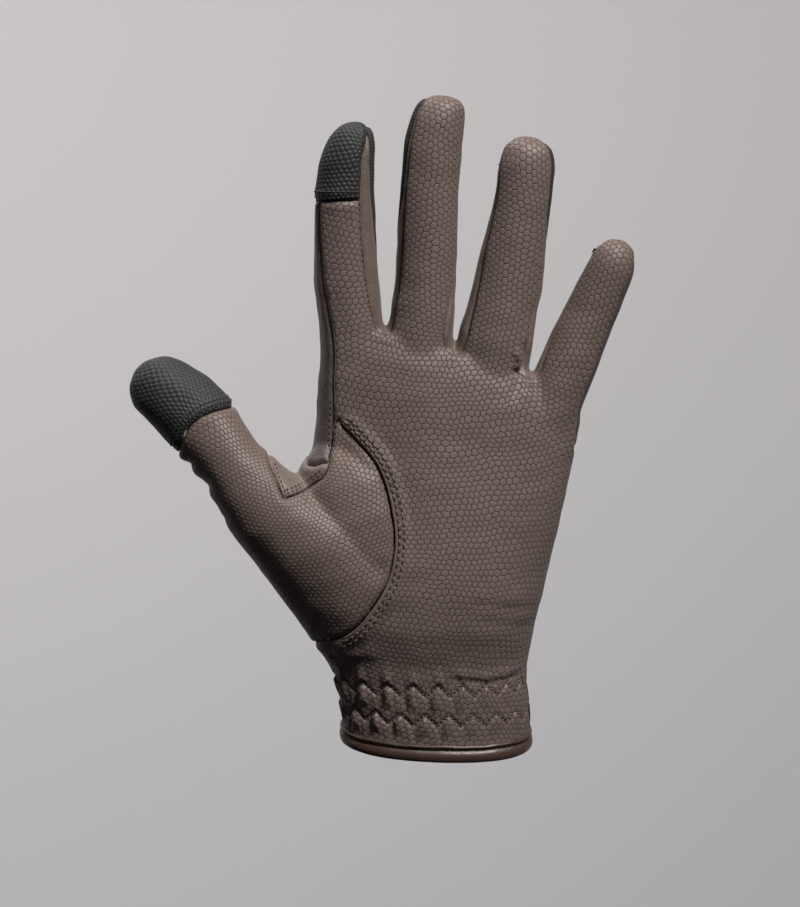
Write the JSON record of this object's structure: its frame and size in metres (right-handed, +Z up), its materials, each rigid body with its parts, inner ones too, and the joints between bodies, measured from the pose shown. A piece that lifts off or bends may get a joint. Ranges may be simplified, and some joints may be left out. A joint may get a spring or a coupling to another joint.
{
  "type": "horse riding glove",
  "caption": "Left-hand riding glove in grained soft leather with black touch tips on thumb and index finger, finger side strips, a gathered elastic cuff and a bound hem, standing open as worn.",
  "frame": {"origin": "centre of the wrist opening at the hem", "axes": "+Z up towards the fingertips, palm facing -Y, thumb pointing to -X"},
  "size_m": [0.1677, 0.0452, 0.2222],
  "materials": {
    "grain_leather": "matte, embossed with small rounded scales",
    "smooth_leather": "matte, fine grain",
    "touch_leather": "matte, raised dots",
    "back_fabric": "fine stretch knit",
    "binding_leather": "smooth, slight sheen"
  },
  "bodies": {
    "root": {"palm_panel": "grain_leather", "thumb_panel": "grain_leather", "thumb_gusset": "smooth_leather", "index_touch_tip": "touch_leather", "thumb_touch_tip": "touch_leather", "back_panel": "back_fabric", "fourchette_index_middle": "smooth_leather", "fourchette_middle_ring": "smooth_leather", "fourchette_ring_little": "smooth_leather", "index_side_strip": "smooth_leather", "little_side_strip": "smooth_leather", "hem_binding": "binding_leather"}
  },
  "joints": []
}
